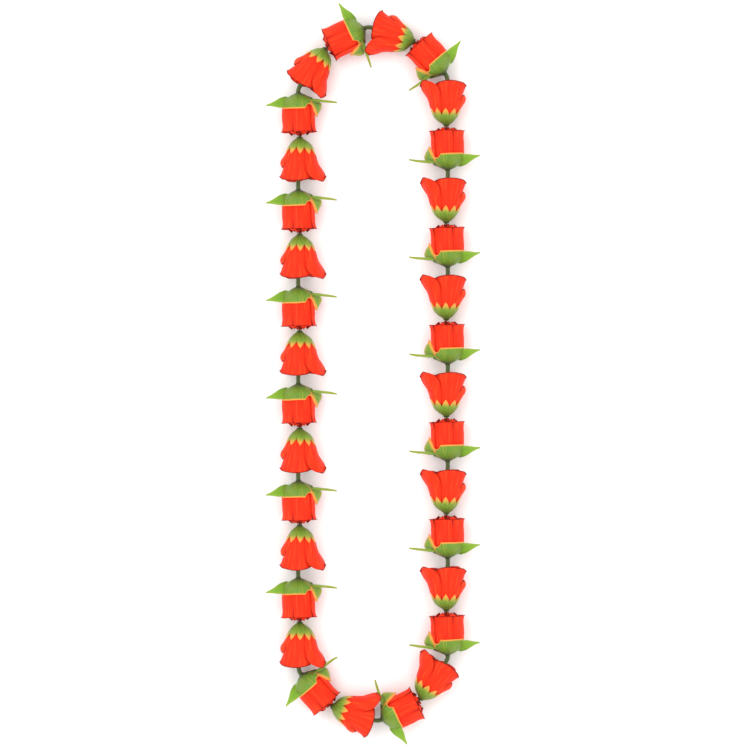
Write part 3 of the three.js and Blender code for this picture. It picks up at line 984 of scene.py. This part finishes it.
# %% Sweep tree
def sweep_tree():
    sizes = dict.fromkeys(["radius", "plies", "furrow", "pitch", "step"], "Float")
    tree, given = new_tree("sweep", **sizes, sides="Int", finish="Material")
    path = add(tree, "GeometryNodeMeshToCurve", {"Mesh": given["Geometry"]}).outputs[0]
    steps = {"Curve": path, "Length": given["Step"]}
    stepped = add(tree, "GeometryNodeResampleCurve", steps, mode="LENGTH").outputs[0]
    upright = add(tree, "GeometryNodeSetCurveNormal", {"Curve": stepped}, mode="Z_UP").outputs[0]
    run = add(tree, "GeometryNodeSplineParameter").outputs["Length"]
    twist = maths(tree, "MULTIPLY", maths(tree, "DIVIDE", run, given["Pitch"]), math.tau)
    twisted = add(tree, "GeometryNodeSetCurveTilt", {"Curve": upright, "Tilt": twist}).outputs[0]
    spine = marked(tree, twisted, "run", run)
    circle = add(tree, "GeometryNodeCurvePrimitiveCircle", {"Resolution": given["Sides"], "Radius": 1.0})
    index = add(tree, "GeometryNodeInputIndex").outputs[0]
    around = maths(tree, "DIVIDE", index, given["Sides"])
    ply_turn = maths(tree, "MULTIPLY", maths(tree, "MULTIPLY", around, given["Plies"]), math.tau)
    below_ridge = maths(tree, "SUBTRACT", maths(tree, "COSINE", ply_turn), 1.0)
    dip = maths(tree, "MULTIPLY", below_ridge, maths(tree, "MULTIPLY", given["Furrow"], 0.5))
    size = maths(tree, "MULTIPLY", maths(tree, "ADD", dip, 1.0), given["Radius"])
    at = add(tree, "GeometryNodeInputPosition").outputs[0]
    ridge = vector_maths(tree, "SCALE", at, size)
    ridged = add(tree, "GeometryNodeSetPosition", {"Geometry": circle.outputs[0], "Position": ridge})
    section = marked(tree, ridged.outputs[0], "around", around)
    girth = add(tree, "GeometryNodeInputNamedAttribute", {"Name": "girth"}, data_type="FLOAT").outputs[0]
    rod = {"Curve": spine, "Profile Curve": section, "Scale": girth, "Fill Caps": True}
    return close_tree(tree, add(tree, "GeometryNodeCurveToMesh", rod).outputs[0], given["Finish"])


sweep = sweep_tree()


def swept(name, points, girth=1.0, closed=False, **sizes):
    """Sweeps along points in metres; girth scales the section at each of them."""
    count = len(points)
    mesh = bpy.data.meshes.new(name)
    edges = [(n, (n + 1) % count) for n in range(count if closed else count - 1)]
    mesh.from_pydata([tuple(p) for p in points], edges, [])
    store(mesh, "girth", girth)
    thing = linked(name, mesh)
    set_tree(thing, sweep, **sizes)
    made_plain(thing)
    thing.data.shade_smooth()
    return thing


# %% [markdown]
# ## The finish of the string
# The string is a red-brown twisted thread. Its fibres lie along the plies, so fine noise is stretched along the
# run and turns with the section. The dark furrows between the plies come from the shape itself.


# %% String finish
DARK_FIBRE = (0.12, 0.026, 0.010, 1)
LIGHT_FIBRE = (0.36, 0.10, 0.036, 1)


def string_finish():
    material, tree = new_finish("twisted_thread", Roughness=0.85, Sheen_Weight=0.12, Sheen_Roughness=0.5)
    fibre = fibre_noise(tree, 900.0, 26.0, 4.0)
    colour = mixed(tree, ramped(tree, fibre, 0.3, 0.7), DARK_FIBRE, LIGHT_FIBRE)
    return close_finish(material, colour, fibre, 0.1)


string_brown = string_finish()

# %% [markdown]
# ## Thread the blooms
# Each bud and each open rose becomes a piece of its own and takes the place of its solid. The green of a pair
# is one piece, as in the solids: the bud's calyx, its stub of stem, which is pushed down the heart of the open
# rose behind it, and that rose's calyx.

# %% Buds, open roses and greens
STEM_RADIUS = 1.45
STEM_IN_ROSE = 15
STEM_IN_HIP = 0.9
STEM_BEND = 1.5
STEM_STOPS = [0.0, 0.55, 0.85, 1.0]
FLARE_START = 0.86
FLARE = 0.5
BLOOM_SWAY = 1.1
BUD_CALYX_SWAY = 1.0
ROSE_CALYX_SWAY = 0.3
ROSE_ASIDE = 0.8
BUD_ASIDE = -0.3


def stem_of(bud, rose, seed):
    """The stub from inside the open rose to the bud's hip, bent near both blooms and thicker at the hip."""
    into_rose = (rose["tip"] - rose["mouth"]).normalized()
    into_bud = (bud["mouth"] - bud["tip"]).normalized()
    stops = [
        rose["mouth"] + into_rose * STEM_IN_ROSE * MM,
        rose["mouth"] + into_rose * STEM_BEND * MM,
        bud["tip"] - into_bud * STEM_BEND * MM,
        bud["tip"] + into_bud * STEM_IN_HIP * MM,
    ]
    at = np.linspace(0, 1, 22)
    points = np.column_stack([through(STEM_STOPS, [stop[k] for stop in stops], at) for k in range(3)])
    girth = 1 + FLARE * np.clip((at - FLARE_START) / (1 - FLARE_START), 0, 1) ** 2
    section = {"plies": 5.0, "furrow": 0.08, "sides": 15, "pitch": 1.0}
    sizes = {"radius": STEM_RADIUS * MM, "step": 0.7 * MM, "finish": stem_green}
    stem = swept(f"stem_{seed}", points, girth, **section, **sizes)
    return with_hairs(f"stem_{seed}", [stem], stem_green, per_mm2=0.22, length=0.45, seed=seed)


finished = []
for pair in range(PAIRS):
    bud = places[2 * pair + 1]
    rose = places[(2 * pair + 2) % len(places)]
    number = f"{pair + 1:02d}"
    seed = 3 * pair
    of_bud, of_rose = (bud, BUD_ASIDE), (rose, ROSE_ASIDE)
    rosebud = threaded(f"rosebud_{number}", rosebud_form, *of_bud, BLOOM_SWAY, seed + 1, petal_red)
    open_rose = threaded(f"open_rose_{number}", open_rose_form, *of_rose, BLOOM_SWAY, seed + 2, petal_red)
    greens = joined(f"greens_{number}", [
        threaded(f"bud_calyx_{number}", bud_calyx_form, *of_bud, BUD_CALYX_SWAY, seed + 3, sepal_green),
        threaded(f"rose_calyx_{number}", rose_calyx_form, *of_rose, ROSE_CALYX_SWAY, seed + 3, sepal_green),
        stem_of(bud, rose, 70 + pair),
    ])
    finished += [
        (rosebud, f"bud_petals_{number}", "petals"),
        (open_rose, f"rose_petals_{number}", "petals"),
        (greens, f"stem_and_calyxes_{number}", "greens"),
    ]
for form in (rosebud_form, open_rose_form, bud_calyx_form, rose_calyx_form):
    bpy.data.objects.remove(form)
print("threaded", len(finished), "pieces")

# %% [markdown]
# ## The string
# It runs through every bloom and bends only between them, so its path is the blooms' own tips and mouths, from
# the knot all the way round and back. The knot is an overhand knot, whose line is a trefoil; it sits in the
# first bud's mouth.


# %% String and knot
STRING_RADIUS = 0.85
PLY_PITCH = 6.4
KNOT_FROM_TIP = 24.4
KNOT_SIZE = 0.46
KNOT_RISE = 1.3
KNOT_THINNER = 0.75
KNOT_PITCH = 0.8


def string_piece():
    first, *others = places[1:] + places[:1]
    knot = first["tip"].lerp(first["mouth"], KNOT_FROM_TIP / BUD_LENGTH)
    points = [knot, first["tip"]]
    for place in others:
        points += [place["mouth"], place["tip"]]
    points += [first["mouth"], knot]
    ply = {"plies": 3.0, "furrow": 0.5, "sides": 15, "finish": string_brown}
    sizes = {"radius": STRING_RADIUS * MM, "pitch": PLY_PITCH * MM, "step": 0.6 * MM}
    line = swept("string_run", points, **sizes, **ply)
    t = np.linspace(0, math.tau, 90, endpoint=False)
    sideways = [np.sin(t) + 2 * np.sin(2 * t), np.cos(t) - 2 * np.cos(2 * t)]
    trefoil = np.column_stack([*sideways, -KNOT_RISE * np.sin(3 * t)]) * KNOT_SIZE * MM
    sizes = {
        "radius": STRING_RADIUS * KNOT_THINNER * MM,
        "pitch": PLY_PITCH * KNOT_PITCH * MM,
        "step": 0.25 * MM,
    }
    ball = swept("knot", trefoil + np.array(knot), closed=True, **sizes, **ply)
    return joined("knotted_string", [line, ball])


finished.append((string_piece(), "string", "string"))

# %% [markdown]
# ## Hand the pieces over
# Every piece rides on the one body of the lei and takes its solid's place.

# %% Ride and replace
faces = 0
for piece, solid, slot in finished:
    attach(piece, "root")
    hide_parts(solid)
    piece.data.calc_loop_triangles()
    faces += len(piece.data.loop_triangles)
print("triangles in all", faces)

# %% [markdown]
# ## The stage
# The lei lies on a plain pale table under soft studio light, and the camera looks straight down on it through a
# long lens, as in the photograph. The table is much wider than the view, so that its edge never shows, and it
# lies 0.1 mm lower than the lei, so that the two share no plane.

# %% Floor, light and camera
FLOOR_HALF = 12.0
FLOOR_DROP = 0.0001
FLOOR_LIGHT = (0.965, 0.965, 0.965, 1)
FLOOR_DARK = (0.95, 0.95, 0.95, 1)
signs = ((-1, -1), (1, -1), (1, 1), (-1, 1))
corners = [(x * FLOOR_HALF, y * FLOOR_HALF, -FLOOR_DROP) for x, y in signs]
floor_mesh = bpy.data.meshes.new("floor")
floor_mesh.from_pydata(corners, [], [(0, 1, 2, 3)])
floor = linked("floor", floor_mesh)
pale, tree = new_finish("pale_table", Roughness=0.9, Specular_IOR_Level=0.1)
speckle = add(tree, "ShaderNodeTexNoise", {
    "Vector": add(tree, "ShaderNodeTexCoord").outputs["Object"], "Scale": 40.0, "Detail": 2.0,
}).outputs["Fac"]
floor_mesh.materials.append(close_finish(pale, mixed(tree, speckle, FLOOR_DARK, FLOOR_LIGHT)))
floor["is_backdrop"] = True

world = bpy.data.worlds.new("studio")
world.use_nodes = True
sky = world.node_tree.nodes["Background"]
sky.inputs["Color"].default_value = (1.0, 1.0, 1.0, 1)
sky.inputs["Strength"].default_value = 1.25
bpy.context.scene.world = world


def soft_light(name, place, size, watts):
    lamp = bpy.data.lights.new(name, "AREA")
    lamp.shape = "DISK"
    lamp.size = size
    lamp.energy = watts
    thing = linked(name, lamp)
    thing.location = place
    thing.rotation_mode = "QUATERNION"
    thing.rotation_quaternion = (-Vector(place)).to_track_quat("-Z", "Y")


soft_light("key", (-0.7, 0.5, 1.6), size=1.4, watts=9.0)
soft_light("fill", (0.9, -0.7, 1.3), size=1.6, watts=4.0)

VIEW_WIDTH = 0.491
VIEW_CENTRE = (0.0013, -0.0007)
CAMERA_HEIGHT = 3.0
camera_data = bpy.data.cameras.new("camera")
camera_data.sensor_width = 36.0
camera_data.lens = camera_data.sensor_width * (CAMERA_HEIGHT - STRING_HEIGHT * MM) / VIEW_WIDTH
camera = linked("camera", camera_data)
camera.location = (*VIEW_CENTRE, CAMERA_HEIGHT)
bpy.context.scene.camera = camera
bpy.context.scene.view_settings.view_transform = "Standard"

# %% [markdown]
# ## Sizes
# The dressed lei has to stay as large as its solids, so both boxes are written down side by side.

# %% Write the sizes and finish
visual_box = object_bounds()
for label, (low, high) in (("CAD", cad_box), ("visual", visual_box)):
    print(label, "size in mm", [round((b - a) * 1000, 1) for a, b in zip(low, high)])
